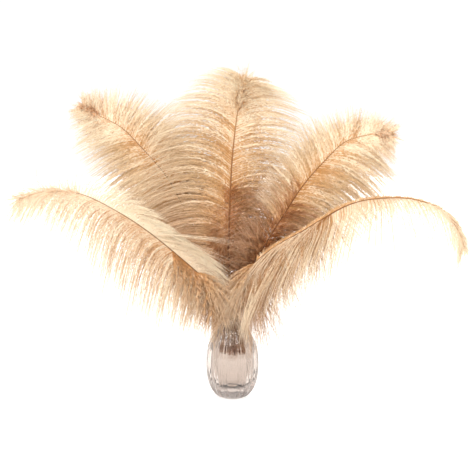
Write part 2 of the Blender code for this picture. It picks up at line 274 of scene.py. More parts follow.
PLUMES = (
    Plume(
        name="feather_centre",
        shaft=(
            (0.5, 5.5, 46.0), (0.5, 5.5, 66.0), (0.5, 5.2, 86.0), (-0.3, 8.2, 104.0),
            (-1.8, 10.0, 119.0), (-4.4, 13.0, 153.0), (-3.6, 17.0, 193.0), (-2.3, 21.0, 232.5),
            (0.4, 25.0, 272.5), (5.5, 28.0, 315.0), (9.0, 27.0, 334.0), (12.4, 23.0, 347.0),
        ),
        face=((0.0, -1.0, 0.15), (0.0, -1.0, 0.35)),
        right=Vane(
            start=0.10, length=(60.0, 94.0, 108.0, 106.0, 100.0, 80.0, 32.0),
            lean=(64, 62, 61, 60, 57, 46, 20), comb=(72, 70, 69, 67, 64, 60, 50),
            roll=(-6, -8, -8, -8, -7, -4, 0), droop=(1.0, 1.2, 1.25, 1.2, 1.1, 0.9, 0.7),
            fullness=(1.7, 1.6, 1.4, 1.1, 1.1, 1.4, 2.2),
        ),
        left=Vane(
            start=0.10, length=(60.0, 94.0, 112.0, 114.0, 104.0, 76.0, 32.0),
            lean=(56, 54, 52, 51, 50, 46, 26), comb=(66, 62, 60, 58, 58, 60, 54),
            roll=(8, 9, 10, 10, 8, 4, 0), droop=(1.0, 1.2, 1.3, 1.3, 1.15, 0.95, 0.7),
            fullness=(1.7, 1.6, 1.3, 1.1, 1.1, 1.4, 2.2),
        ),
        down=(
            QUILL_DOWN,
            Down(low=-34.0, high=-0.5, count=260, length=30.0, lean=24.0, sway=18.0, facing=0.0,
                 spread=180.0, droop=0.3, rust_and_shade=0.0, pale=0.25),
            Down(low=62.0, high=185.0, count=240, length=64.0, lean=58.0, sway=3.0, facing=94.0,
                 spread=10.0, droop=1.0, rust_and_shade=0.0, pale=0.16, curl=3.0),
            Down(low=62.0, high=185.0, count=220, length=64.0, lean=54.0, sway=3.0, facing=-94.0,
                 spread=10.0, droop=1.0, rust_and_shade=0.0, pale=0.16, curl=3.0),
            Down(low=58.0, high=74.0, count=30, length=26.0, lean=24.0, sway=16.0, facing=0.0,
                 spread=90.0, droop=-0.3, rust_and_shade=0.1, pale=0.2),
            Down(low=60.0, high=190.0, count=190, length=58.0, lean=48.0, sway=5.0, facing=108.0,
                 spread=16.0, droop=0.8, rust_and_shade=0.0, pale=0.12, curl=4.0),
            Down(low=60.0, high=190.0, count=190, length=58.0, lean=48.0, sway=5.0, facing=-108.0,
                 spread=16.0, droop=0.8, rust_and_shade=0.0, pale=0.12, curl=4.0),
        ),
        painted_base_shade=0.42,
        stem=1.0,
        seed=11,
    ),
    Plume(
        name="feather_back_left",
        shaft=(
            (-4.0, 1.0, 50.0), (-3.6, 2.4, 66.0), (-3.7, 4.3, 86.0), (-5.6, 5.2, 104.0),
            (-9.5, 7.0, 118.0), (-20.0, 11.5, 143.0), (-37.4, 18.0, 176.8), (-55.8, 24.0, 213.0),
            (-74.3, 29.0, 245.0), (-101.3, 33.0, 276.0), (-124.0, 34.0, 298.5),
            (-149.5, 32.0, 312.5), (-163.5, 28.0, 320.5),
        ),
        face=((0.1, -1.0, 0.05), (0.0, -1.0, 0.2)),
        right=Vane(
            start=0.34, length=(62.0, 78.0, 62.0, 45.0, 18.0), lean=(60, 62, 64, 62, 36),
            comb=(80, 82, 82, 76, 44), roll=(-10, -8, -6, -4, 0), droop=(0.7, 0.6, 0.3, 0.1, 0.0),
            pale=0.04,
        ),
        left=Vane(
            start=0.20, length=(62.0, 80.0, 76.0, 58.0, 20.0), lean=(56, 58, 56, 48, 28),
            comb=(70, 70, 66, 54, 32), roll=(-4, -4, 0, 2, 0), droop=(0.9, 0.8, 0.6, 0.4, 0.2),
            pale=0.04,
        ),
        down=(
            QUILL_DOWN, TUFT,
            Down(low=70.0, high=134.0, count=170, length=56.0, lean=52.0, sway=9.0, facing=84.0,
                 spread=26.0, droop=0.6, rust_and_shade=0.1),
            Down(low=66.0, high=104.0, count=110, length=54.0, lean=54.0, sway=10.0, facing=-84.0,
                 spread=26.0, droop=0.8, rust_and_shade=0.1),
            Down(low=90.0, high=190.0, count=220, length=50.0, lean=52.0, sway=9.0, facing=100.0,
                 spread=24.0, droop=0.4, rust_and_shade=0.0, curl=7.0),
        ),
        blush=0.8,
        painted_base_shade=0.4,
        seed=23,
    ),
    Plume(
        name="feather_back_right",
        shaft=(
            (8.5, -6.0, 51.0), (7.0, -4.0, 66.0), (5.0, -1.0, 86.0), (5.8, 2.2, 104.0),
            (10.0, 2.5, 119.0), (20.8, 2.0, 144.6), (37.1, 1.0, 172.6), (55.9, 0.0, 203.0),
            (78.0, -1.0, 237.0), (102.4, -2.0, 264.8), (123.2, -4.0, 284.0), (151.0, -8.0, 292.4),
            (168.5, -13.0, 291.6),
        ),
        face=((-0.1, -1.0, 0.05), (0.0, -1.0, 0.3)),
        right=Vane(
            start=0.32, length=(62.0, 86.0, 90.0, 58.0, 15.0), lean=(50, 50, 48, 38, 30),
            comb=(58, 58, 54, 44, 30), roll=(-4, -3, -2, 0, 0), droop=(1.0, 1.25, 1.25, 0.8, 0.2),
        ),
        left=Vane(
            start=0.34, length=(36.0, 50.0, 48.0, 34.0, 18.0), lean=(52, 56, 56, 54, 34),
            comb=(62, 68, 66, 66, 42), roll=(4, 4, 2, 0, 0), droop=(0.6, 0.35, 0.1, 0.05, 0.0),
        ),
        down=(
            QUILL_DOWN, TUFT,
            Down(low=64.0, high=130.0, count=180, length=58.0, lean=52.0, sway=9.0, facing=84.0,
                 spread=26.0, droop=0.9, rust_and_shade=0.1),
            Down(low=64.0, high=130.0, count=120, length=36.0, lean=50.0, sway=9.0, facing=-84.0,
                 spread=26.0, droop=0.3, rust_and_shade=0.1),
            Down(low=90.0, high=200.0, count=190, length=48.0, lean=54.0, sway=5.0, facing=-98.0,
                 spread=18.0, droop=0.4, rust_and_shade=0.0, pale=0.12, curl=4.0),
            Down(low=90.0, high=180.0, count=170, length=60.0, lean=50.0, sway=5.0, facing=100.0,
                 spread=18.0, droop=1.0, rust_and_shade=0.0, pale=0.12, curl=4.0),
        ),
        blush=0.8,
        painted_base_shade=0.4,
        seed=37,
    ),
    Plume(
        name="feather_front_left",
        shaft=(
            (11.0, 5.0, 47.0), (6.5, 3.2, 66.0), (-0.5, -0.3, 86.0), (-8.2, -4.2, 104.0),
            (-15.6, -8.0, 116.0), (-33.2, -15.0, 137.0), (-60.8, -27.0, 163.6),
            (-91.0, -40.0, 190.0), (-122.6, -52.0, 212.4), (-158.4, -62.0, 231.0),
            (-194.4, -68.0, 234.6), (-221.0, -71.0, 227.0),
        ),
        face=((0.35, -0.8, 0.5), (0.0, -0.75, 0.65)),
        right=Vane(
            start=0.03, length=(20.0, 64.0, 48.0, 20.0, 24.0), lean=(100, 98, 94, 62, 24),
            comb=(146, 152, 152, 90, 26), roll=(60, 34, 26, 24, 0), droop=(1.2, 0.7, 0.5, 0.3, 0.3),
            combed_by=0.3, loose=2.2, pale=1.0, fluff=0.35, fullness=(1.3, 1.5, 1.4, 1.0, 1.0),
        ),
        left=Vane(
            start=0.02, length=(56.0, 92.0, 87.0, 58.0, 34.0), lean=(60, 50, 46, 40, 24),
            comb=(96, 88, 80, 62, 30), roll=(0, 6, 8, 6, 0), droop=(1.8, 1.6, 1.5, 1.3, 0.8),
            loose=2.4, fullness=(1.6, 1.5, 1.3, 1.0, 1.0), pale=0.3, pink=0.3, fluff=0.75,
        ),
        down=(
            QUILL_DOWN, NECK_DOWN,
            Down(low=-66.0, high=-0.5, count=170, length=36.0, lean=25.0, sway=9.0, facing=0.0,
                 spread=180.0, droop=0.5, rust_and_shade=0.0, pale=0.35, fluff=0.5),
            Down(low=62.0, high=150.0, count=330, length=58.0, lean=106.0, sway=15.0, facing=-104.0,
                 spread=32.0, droop=1.3, rust_and_shade=0.15, pale=-0.1, fluff=1.2),
            Down(low=177.0, high=180.0, count=20, length=86.0, lean=142.0, sway=0.6, facing=52.0,
                 spread=3.0, droop=0.2, rust_and_shade=0.0, pale=0.9, fluff=0.2, curl=2.0),
            Down(low=169.0, high=172.0, count=20, length=88.0, lean=147.0, sway=0.6, facing=50.0,
                 spread=3.0, droop=0.4, rust_and_shade=0.0, pale=0.9, fluff=0.2, curl=2.0),
            Down(low=156.0, high=158.0, count=10, length=66.0, lean=146.0, sway=0.5, facing=50.0,
                 spread=3.0, droop=0.4, rust_and_shade=0.0, pale=0.9, fluff=0.2, curl=2.0),
        ),
        blush=1.0,
        stem=0.55,
        seed=41,
    ),
    Plume(
        name="feather_front_right",
        shaft=(
            (-9.0, -1.0, 49.0), (-7.0, -3.0, 66.0), (-3.6, -5.2, 86.0), (0.6, -7.8, 104.0),
            (7.0, -11.0, 122.0), (22.4, -17.0, 149.6), (47.1, -28.0, 172.0), (76.0, -39.0, 190.0),
            (118.6, -54.0, 217.2), (149.8, -62.0, 226.2), (189.4, -68.0, 226.4),
            (220.8, -71.0, 214.0), (237.5, -72.0, 192.0), (242.5, -72.0, 174.0),
        ),
        face=((-0.3, -0.8, 0.5), (0.3, -0.75, 0.6)),
        right=Vane(
            start=0.03, length=(64.0, 100.0, 90.0, 57.0, 26.0), lean=(110, 112, 90, 46, 26),
            comb=(146, 150, 120, 52, 30), roll=(10, 14, 16, 10, 0), droop=(1.0, 1.1, 1.2, 1.5, 0.6),
            combed_by=0.25, fullness=(1.0, 0.95, 0.95, 0.95, 0.7, 0.6, 0.9), loose=1.8, pale=0.36,
            fluff=0.5,
        ),
        left=Vane(
            start=0.12, length=(30.0, 44.0, 50.0, 40.0, 11.0), lean=(60, 58, 54, 44, 36),
            comb=(100, 96, 84, 52, 36), roll=(-34, -36, -40, -36, 0),
            droop=(1.6, 1.7, 1.7, 1.5, 0.6), fullness=(1.0, 1.0, 1.0, 0.9, 0.6, 0.5, 1.0), loose=2.2,
        ),
        down=(
            QUILL_DOWN, NECK_DOWN,
            Down(low=-66.0, high=-0.5, count=150, length=30.0, lean=20.0, sway=8.0, facing=0.0,
                 spread=180.0, droop=0.7, rust_and_shade=0.0, pale=0.35, fluff=0.5),
            Down(low=84.0, high=205.0, count=150, length=60.0, lean=150.0, sway=6.0, facing=56.0,
                 spread=30.0, droop=0.7, rust_and_shade=0.0, pale=0.4, fluff=0.3, curl=9.0),
            # These two layers of under-fluff are darker and browner than the strands before them: painted
            # shade for the shadow behind.
            Down(low=80.0, high=150.0, count=360, length=96.0, lean=112.0, sway=13.0, facing=98.0,
                 spread=30.0, droop=1.5, rust_and_shade=0.35, pale=-0.35, fluff=0.9),
            Down(low=140.0, high=215.0, count=300, length=74.0, lean=104.0, sway=14.0, facing=100.0,
                 spread=30.0, droop=1.5, rust_and_shade=0.3, pale=-0.3, fluff=0.9),
            Down(low=84.0, high=100.0, count=90, length=46.0, lean=150.0, sway=6.0, facing=-20.0,
                 spread=40.0, droop=0.9, rust_and_shade=0.0, pale=0.4, fluff=0.4, curl=4.0),
            Down(low=82.0, high=100.0, count=150, length=44.0, lean=92.0, sway=16.0, facing=96.0,
                 spread=26.0, droop=1.9, rust_and_shade=0.75, pale=-0.2),
        ),
        blush=0.8,
        seed=53,
    ),
)


@dataclass(frozen=True)
class VaseProfile:
    """Half sections of the bud vase as pairs of radius and height."""

    outside: tuple = (
        (11.5, 0.0), (16.4, 2.2), (20.8, 6.0), (24.2, 11.4), (27.0, 19.0), (28.6, 29.0),
        (29.0, 39.0), (28.4, 50.0), (26.2, 60.0), (20.9, 71.0), (16.3, 79.0), (14.5, 87.0),
        (14.3, 95.0), (14.9, 101.6),
    )
    rim: tuple = ((14.4, 103.0), (13.4, 103.4), (12.4, 103.0))
    inside: tuple = (
        (11.9, 101.0), (11.8, 87.0), (13.6, 79.0), (18.4, 70.0), (23.6, 59.0), (25.8, 48.0),
        (26.0, 38.0), (24.6, 27.0), (20.0, 17.4), (11.5, 11.2), (0.0, 9.6),
    )

    def outer_radius(self, height: np.ndarray) -> np.ndarray:
        """Radius of the outside at each height."""
        radius, at = np.array(self.outside).T
        return np.interp(height, at, radius)

    def inner_radius(self, height: np.ndarray) -> np.ndarray:
        """Radius of the inside at each height."""
        radius, at = np.array(self.inside).T[:, ::-1]
        return np.interp(height, at, radius)


PROFILE = VaseProfile()
RIM_HEIGHT = 103.4


# Finishes


@dataclass(frozen=True)
class DyedBarbs:
    """Dyed ostrich barbs: matt and downy, a warm champagne that deepens to tan at the roots.

    The colours are saturated and there is hardly any gloss, because light that has passed through
    several barbs comes out warmer, and the gaps between locks look orange-brown rather than grey.
    The tone and hue read from the mesh also carry painted light: barbs in front of each lock are
    painted lighter, barbs deep in it and the barbules darker, and the lowest barbs darker and
    browner as painted shade.
    """

    roots: tuple = ((0.0, "#DA9E5E"), (0.10, "#E2AC72"), (0.4, "#ECC698"), (1.0, "#F4E0C4"))
    blush: str = "#EDBB98"
    # Reddish brown: the own colour of rusty down, and also painted shade on the lowest barbs.
    rust_and_shade: str = "#D58C5E"
    cream: str = "#F9ECD3"
    cream_share: float = 0.9
    darkest: float = 0.68
    lightest: float = 1.1
    roughness: float = 0.62
    sheen: float = 0.1
    sheen_tint: str = "#F6D2A8"
    gloss: float = 0.1
    mottle_mm: float = 22.0

    def make(self) -> bpy.types.Material:
        """Makes the material.

        Returns:
            The material, which reads from the mesh how far along its barb each point lies, the barb's
            tone, which holds its own lightness together with painted highlight and shade, and how pink it
            is, or below zero how far it turns reddish-brown as rust colour and painted shade.
        """
        material, tree, shader = new_material("dyed_ostrich_barbs")
        facts = add_node(tree, "ShaderNodeAttribute", {"attribute_name": BARB_FACTS}, {})
        parts = add_node(tree, "ShaderNodeSeparateXYZ", {}, {"Vector": facts.outputs["Vector"]})
        along = add_node(tree, "ShaderNodeValToRGB", {}, {"Fac": parts.outputs["X"]})
        set_stops(along, self.roots)
        pink = add_node(tree, "ShaderNodeMath", {"operation": "MULTIPLY", 1: 1.0, "use_clamp": True},
                        {0: parts.outputs["Z"]})
        blushed = add_node(
            tree, "ShaderNodeMix", {"data_type": "RGBA", 7: linear(self.blush)},
            {0: pink.outputs[0], 6: along.outputs["Color"]},
        )
        # Below zero the hue turns towards the rust colour: the own colour of some down, and painted shade on
        # the lowest barbs and most down.
        browned = add_node(tree, "ShaderNodeMath", {"operation": "MULTIPLY", 1: -1.0, "use_clamp": True},
                           {0: parts.outputs["Z"]})
        where = add_node(tree, "ShaderNodeTexCoord", {}, {})
        mottle = add_node(
            tree, "ShaderNodeTexNoise", {"Scale": 1.0 / (self.mottle_mm * MM), "Detail": 2.0},
            {"Vector": where.outputs["Object"]},
        )
        shift = add_node(
            tree, "ShaderNodeMapRange", {"From Min": 0.3, "From Max": 0.7, "To Min": -0.12, "To Max": 0.12},
            {"Value": mottle.outputs["Fac"]},
        )
        tone = add_node(tree, "ShaderNodeMath", {"operation": "ADD"},
                        {0: parts.outputs["Y"], 1: shift.outputs["Result"]})
        light = add_node(
            tree, "ShaderNodeMapRange", {"To Min": self.darkest, "To Max": self.lightest},
            {"Value": tone.outputs[0]},
        )
        # Lighter tones turn cream: partly the barbs' own paler colour, partly painted highlight on barbs in
        # front of each lock.
        paleness_and_painted_highlight = add_node(
            tree, "ShaderNodeMapRange", {"From Min": 0.55, "From Max": 1.1, "To Max": self.cream_share},
            {"Value": tone.outputs[0]},
        )
        creamy = add_node(
            tree, "ShaderNodeMix", {"data_type": "RGBA", 7: linear(self.cream)},
            {0: paleness_and_painted_highlight.outputs["Result"], 6: blushed.outputs[2]},
        )
        rust_and_shade_mixed = add_node(
            tree, "ShaderNodeMix", {"data_type": "RGBA", 7: linear(self.rust_and_shade)},
            {0: browned.outputs[0], 6: creamy.outputs[2]},
        )
        toned = add_node(
            tree, "ShaderNodeVectorMath", {"operation": "SCALE"},
            {0: rust_and_shade_mixed.outputs[2], "Scale": light.outputs["Result"]},
        )
        tree.links.new(toned.outputs[0], shader.inputs["Base Color"])
        shader.inputs["Roughness"].default_value = self.roughness
        shader.inputs["Sheen Weight"].default_value = self.sheen
        shader.inputs["Sheen Roughness"].default_value = 0.5
        shader.inputs["Sheen Tint"].default_value = linear(self.sheen_tint)
        shader.inputs["Specular IOR Level"].default_value = self.gloss
        return material


@dataclass(frozen=True)
class ShaftKeratin:
    """Dyed quill and shaft: horny and a little glossy, dark brown low and tan towards the tip, with
    a painted highlight along its left side.
    """

    along: tuple = (
        (0.0, "#7A4A28"), (0.2, "#6B421C"), (0.5, "#7A4A20"), (0.78, "#A06C38"), (1.0, "#D0A36C"),
    )
    # A paler line painted along the shaft's left side: a painted highlight.
    edge: str = "#D9B684"
    painted_highlight_share: float = 0.35
    roughness: float = 0.5
    grain_mm: float = 1.4

    def make(self) -> bpy.types.Material:
        """Makes the material, which reads from the mesh the place along the shaft and how near each
        point lies to its left side, where a highlight is painted.
        """
        material, tree, shader = new_material("ostrich_shaft_keratin")
        facts = add_node(tree, "ShaderNodeAttribute", {"attribute_name": BARB_FACTS}, {})
        parts = add_node(tree, "ShaderNodeSeparateXYZ", {}, {"Vector": facts.outputs["Vector"]})
        body = add_node(tree, "ShaderNodeValToRGB", {}, {"Fac": parts.outputs["X"]})
        set_stops(body, self.along)
        edge = add_node(
            tree, "ShaderNodeMapRange", {"From Min": 0.55, "From Max": 1.0, "To Max": self.painted_highlight_share},
            {"Value": parts.outputs["Y"]},
        )
        with_painted_highlight = add_node(
            tree, "ShaderNodeMix", {"data_type": "RGBA", 7: linear(self.edge)},
            {0: edge.outputs["Result"], 6: body.outputs["Color"]},
        )
        where = add_node(tree, "ShaderNodeTexCoord", {}, {})
        grain = add_node(
            tree, "ShaderNodeTexNoise", {"Scale": 1.0 / (self.grain_mm * MM), "Detail": 3.0},
            {"Vector": where.outputs["Object"]},
        )
        streak = add_node(
            tree, "ShaderNodeMapRange", {"To Min": 0.82, "To Max": 1.15}, {"Value": grain.outputs["Fac"]},
        )
        grained = add_node(
            tree, "ShaderNodeVectorMath", {"operation": "SCALE"},
            {0: with_painted_highlight.outputs[2], "Scale": streak.outputs["Result"]},
        )
        tree.links.new(grained.outputs[0], shader.inputs["Base Color"])
        bump = add_node(tree, "ShaderNodeBump", {"Strength": 0.2, "Distance": 0.0002},
                        {"Height": grain.outputs["Fac"]})
        tree.links.new(bump.outputs["Normal"], shader.inputs["Normal"])
        shader.inputs["Roughness"].default_value = self.roughness
        return material


@dataclass(frozen=True)
class PressedGlass:
    """Clear soda-lime glass, pressed in a ribbed mould: bright, with faint waves from the mould."""

    tint: str = "#DDD3CC"
    depth_tint: str = "#E2CFC8"
    density: float = 12.0
    ior: float = 1.52
    roughness: float = 0.04
    wave_mm: float = 9.0

    def make(self) -> bpy.types.Material:
        """Makes the material: a clear surface with a slight warm absorption in its depth."""
        material, tree, shader = new_material("pressed_soda_lime_glass")
        shader.inputs["Base Color"].default_value = linear(self.tint)
        shader.inputs["Transmission Weight"].default_value = 1.0
        shader.inputs["IOR"].default_value = self.ior
        shader.inputs["Roughness"].default_value = self.roughness
        where = add_node(tree, "ShaderNodeTexCoord", {}, {})
        waves = add_node(
            tree, "ShaderNodeTexNoise", {"Scale": 1.0 / (self.wave_mm * MM), "Detail": 1.5},
            {"Vector": where.outputs["Object"]},
        )
        bump = add_node(tree, "ShaderNodeBump", {"Strength": 0.35, "Distance": 0.0006},
                        {"Height": waves.outputs["Fac"]})
        tree.links.new(bump.outputs["Normal"], shader.inputs["Normal"])
        depth = add_node(
            tree, "ShaderNodeVolumeAbsorption",
            {"Color": linear(self.depth_tint), "Density": self.density}, {},
        )
        tree.links.new(depth.outputs["Volume"], tree.nodes["Material Output"].inputs["Volume"])
        return material


@dataclass(frozen=True)
class StudioPaper:
    """White seamless paper: matt, with a fine tooth, and lit from below to wash out shadows."""

    colour: str = "#C9C8C6"
    glow_colour: str = "#FFFEFC"
    glow: float = 0.8
    tooth_mm: float = 3.0

    def make(self) -> bpy.types.Material:
        """Makes the material of the floor."""
        material, tree, shader = new_material("white_seamless_paper")
        shader.inputs["Base Color"].default_value = linear(self.colour)
        shader.inputs["Roughness"].default_value = 0.9
        shader.inputs["Emission Color"].default_value = linear(self.glow_colour)
        shader.inputs["Emission Strength"].default_value = self.glow
        where = add_node(tree, "ShaderNodeTexCoord", {}, {})
        tooth = add_node(
            tree, "ShaderNodeTexNoise", {"Scale": 1.0 / (self.tooth_mm * MM)},
            {"Vector": where.outputs["Object"]},
        )
        bump = add_node(tree, "ShaderNodeBump", {"Strength": 0.05, "Distance": 0.0002},
                        {"Height": tooth.outputs["Fac"]})
        tree.links.new(bump.outputs["Normal"], shader.inputs["Normal"])
        return material


# Feathers


@dataclass
class Frames:
    """Points of a shaft with their directions: along it, across it, and out of its face."""

    point: np.ndarray
    way: np.ndarray
    across: np.ndarray
    face: np.ndarray


class Shaft:
    """The quill and shaft of one feather as a smooth curve that is read by its own length."""

    FINE = 240
    QUILL_POINTS = 4

    def __init__(self, plume: Plume) -> None:
        """Lays the curve through the feather's points."""
        self.points = passing(plume.shaft, np.linspace(0.0, 1.0, self.FINE + 1))
        steps = np.linalg.norm(np.diff(self.points, axis=0), axis=1)
        self.reach = np.concatenate([[0.0], np.cumsum(steps)])
        self.ways = unit(np.gradient(self.points, axis=0))
        self.bare = self.reach[round(self.QUILL_POINTS / (len(plume.shaft) - 1) * self.FINE)]
        self.length = self.reach[-1]
        self.faces = np.array(plume.face)

    def read(self, table: np.ndarray, along: np.ndarray) -> np.ndarray:
        """Reads a table of vectors, one for each point of the curve, at lengths along it."""
        return np.stack([np.interp(along, self.reach, table[:, axis]) for axis in range(3)], axis=1)

    def frames(self, along: np.ndarray) -> Frames:
        """Points and directions of the shaft at lengths from the quill's end."""
        way = unit(self.read(self.ways, along))
        share = (along / self.length)[:, None]
        face = self.faces[0] * (1 - share) + self.faces[1] * share
        face = unit(face - way * np.sum(face * way, axis=1, keepdims=True))
        return Frames(self.read(self.points, along), way, np.cross(way, face), face)

    def grown(self, place: np.ndarray) -> np.ndarray:
        """Length from the quill's end to a place from 0 to 1 between quill and tip."""
        return self.bare + (self.length - self.bare) * place


@dataclass
class Barbs:
    """Many barbs, with their points from root to tip and what their meshes and colours need."""

    paths: np.ndarray
    face: np.ndarray
    tone: np.ndarray
    hue: np.ndarray
    breadth: np.ndarray
    fluff: np.ndarray

    @staticmethod
    def joined(parts: list) -> "Barbs":
        """Puts several sets of barbs in one."""
        names = ("paths", "face", "tone", "hue", "breadth", "fluff")
        return Barbs(*(np.concatenate([getattr(part, name) for part in parts]) for name in names))

    def lengths(self) -> np.ndarray:
        """Length of each barb."""
        return np.linalg.norm(np.diff(self.paths, axis=1), axis=2).sum(axis=1)

    def wanted(self) -> np.ndarray:
        """Each barb's share of the barbules."""
        return self.lengths() * np.sqrt(self.fluff)


@dataclass
class Feather:
    """One ostrich feather: its quill and shaft, and single barbs with their barbules."""

    plume: Plume
    barb_material: bpy.types.Material
    shaft_material: bpy.types.Material
    steps: int = 9
    down_steps: int = 5
    barb_spacing: float = 0.55
    barb_radius: tuple = (0.26, 0.26, 0.24, 0.19, 0.05)
    flatness: float = 0.6
    triangles: int = 186000
    barbule_length: float = 5.2
    barbule_width: float = 1.25
    barbule_tip_width: float = 0.22
    barbule_angle: float = 36.0
    barbule_closing: float = 12.0
    barbule_angle_spread: float = 8.0
    barbule_tilt: float = -0.45
    barbule_tilt_spread: float = 0.45
    barbule_painted_shade_tone: float = -0.12
    quill_radius: float = 1.65
    shaft_radius: float = 1.25
    tip_radius: float = 0.4
    root_depth: float = 0.5
    shaft_corners: int = 8
    shaft_rings: int = 90
    fine_group: tuple = (3, 6)
    coarse_group: tuple = (14, 30)
    fine_pull: float = 0.24
    coarse_pull: float = 0.05
    fine_sway: float = 0.8
    coarse_sway: float = 1.2
    crimps: tuple = (0.45, 0.6)
    stray_share: float = 0.05
    relief: float = 0.5
    middle_tone: float = 0.55
    painted_lock_light_and_shade: float = 0.27
    down_breadth: float = 0.7
    down_combed_by: float = 0.5
    paler_tip: float = 0.42
    painted_shade_darkening: float = 0.05
    glass_gap: float = 1.2

    def __post_init__(self) -> None:
        """Lays the shaft and seeds the feather's own random numbers."""
        self.shaft = Shaft(self.plume)
        self.rng = np.random.default_rng(self.plume.seed)

    def grow(self, root: Frames, outward: np.ndarray, lean: np.ndarray, comb: np.ndarray,
             length: np.ndarray, droop: np.ndarray, combed_by: float, steps: int) -> np.ndarray:
        """Lets barbs grow step by step from the shaft.

        Args:
            root: The shaft's frame at each barb.
            outward: Direction away from the shaft for each barb.
            lean: Angle to the shaft at the root, in radians.
            comb: Angle that the barb is combed to.
            length: Length of each barb.
            droop: How far each barb's weight bends it down.
            combed_by: Share of the length at which the barb has turned to comb.
            steps: Number of steps.

        Returns:
            Points of each barb from root to tip.
        """
        points = [root.point]
        for i in range(steps):
            t = (i + 0.5) / steps
            angle = (lean + (comb - lean) * smooth(np.array(t / combed_by)))[:, None]
            heading = root.way * np.cos(angle) + outward * np.sin(angle)
            heading = heading + DOWN * (droop * t)[:, None]
            points.append(points[-1] + unit(heading) * (length / steps)[:, None])
        return np.stack(points, axis=1)

    def gather(self, paths: np.ndarray, groups: np.ndarray, pull: float, sway: float,
               face: np.ndarray) -> np.ndarray:
        """Draws neighbouring barbs together into locks towards their tips.

        Args:
            paths: Points of each barb.
            groups: Number of the lock that each barb is in.
            pull: How far a tip moves towards the middle of its lock, as a share.
            sway: How far a lock's tip stands before or behind the vane.
            face: Direction out of the vane for each barb.

        Returns:
            The moved points.
        """
        count = int(groups[-1]) + 1
        sizes = np.bincount(groups, minlength=count)[:, None, None]
        middle = np.zeros((count,) + paths.shape[1:])
        np.add.at(middle, groups, paths)
        middle /= sizes
        t = np.linspace(0.0, 1.0, paths.shape[1])
        pulls = pull * self.rng.uniform(0.6, 1.25, len(paths))
        share = smooth(t / 0.8)[None, :, None] * pulls[:, None, None]
        out = self.rng.normal(0.0, sway, count)[groups][:, None, None] * (t ** 1.5)[None, :, None]
        return paths + (middle[groups] - paths) * share + face[:, None, :] * out

    def vane(self, vane: Vane, side: Side) -> Barbs:
        """Grows one vane as single barbs that lie together in locks.

        Args:
            vane: The vane's numbers.
            side: The side of the shaft that it is on.

        Returns:
            The vane's barbs.
        """
        rng = self.rng
        fine_places = np.linspace(0.0, 1.0, self.shaft.FINE)
        grown = np.cumsum(passing(vane.fullness, fine_places))
        span = (self.shaft.length - self.shaft.bare) * (1.0 - vane.start)
        count = int(span / self.barb_spacing * grown[-1] / self.shaft.FINE)
        wanted = (np.arange(count) + rng.uniform(0.2, 0.8, count)) / count
        u = np.interp(wanted, grown / grown[-1], fine_places)
        place = vane.start + (1.0 - vane.start) * u
        root = self.shaft.frames(self.shaft.grown(place))
        t = np.linspace(0.0, 1.0, self.steps + 1)[None, :]
        fine = group_numbers(rng, count, *self.fine_group)
        coarse = group_numbers(rng, count, *self.coarse_group)
        stray = (rng.random(count) < self.stray_share).astype(float)
        turn = ripple(rng, place, 7.0) * 0.3 + rng.normal(0.0, 0.7, count) * vane.loose
        turn += rng.normal(0.0, 0.4, fine[-1] + 1)[fine] * vane.loose + stray * rng.normal(0.0, 6.0, count)
        lean = np.radians(passing(vane.lean, u) + turn)
        comb = np.radians(passing(vane.comb, u) + turn * 1.3)
        roll = passing(vane.roll, u) + rng.normal(0.0, 2.0, count) + stray * rng.normal(0.0, 6.0, count)
        roll = np.radians(roll)[:, None]
        length = passing(vane.length, u) * (1.0 + rng.normal(0.0, 0.04, count) * vane.loose)
        length *= 1.0 + rng.normal(0.0, 0.05, fine[-1] + 1)[fine] - stray * rng.uniform(0.0, 0.3, count)
        droop = passing(vane.droop, u) * (1.0 + rng.normal(0.0, 0.06, count) * vane.loose)
        outward = root.across * (side.value * np.cos(roll)) + root.face * np.sin(roll)
        root.point = root.point + root.across * (side.value * self.plume.stem * 0.6)
        root.point = root.point - root.face * (self.root_depth * self.plume.stem)
        paths = self.grow(root, outward, lean, comb, length, droop, vane.combed_by, self.steps)
        paths = self.gather(paths, coarse, self.coarse_pull, self.coarse_sway, root.face)
        paths = self.gather(paths, fine, self.fine_pull, self.fine_sway, root.face)
        paths = self.waved(paths, root.face, place)
        lit = self.lit(fine)
        paths = paths + root.face[:, None, :] * (lit[:, None] * smooth(t / 0.3) * self.relief)[:, :, None]
        tone = self.middle_tone + vane.pale + ripple(rng, place, 9.0) * 0.05
        tone = tone + rng.normal(0.0, 0.06, count)
        # Barbs in front of each lock are painted lighter and those deep inside it darker: painted highlight
        # and painted shade.
        tone += rng.normal(0.0, 0.08, fine[-1] + 1)[fine] + lit * self.painted_lock_light_and_shade
        # Painted shade: the lowest barbs are darker and browner where the feathers crowd together in the V.
        painted_base_shade = self.plume.painted_base_shade * (1.0 - smooth(place / 0.55))
        tone += self.paler_tip * smooth((place - 0.4) / 0.6) - painted_base_shade * self.painted_shade_darkening
        hue = self.plume.blush * smooth((place - 0.75) / 0.25) * 0.5 + vane.pink - painted_base_shade
        return Barbs(paths, root.face, tone, hue, np.ones(count), np.full(count, vane.fluff))

    def lit(self, groups: np.ndarray) -> np.ndarray:
        """Tells how far each barb stands out of its lock, from -1 deep inside to 1 in front."""
        starts = np.flatnonzero(np.diff(groups, prepend=-1))
        sizes = np.bincount(groups)
        inside = (np.arange(len(groups)) - starts[groups] + 0.5) / sizes[groups]
        return np.cos(inside * math.tau) * -1.0

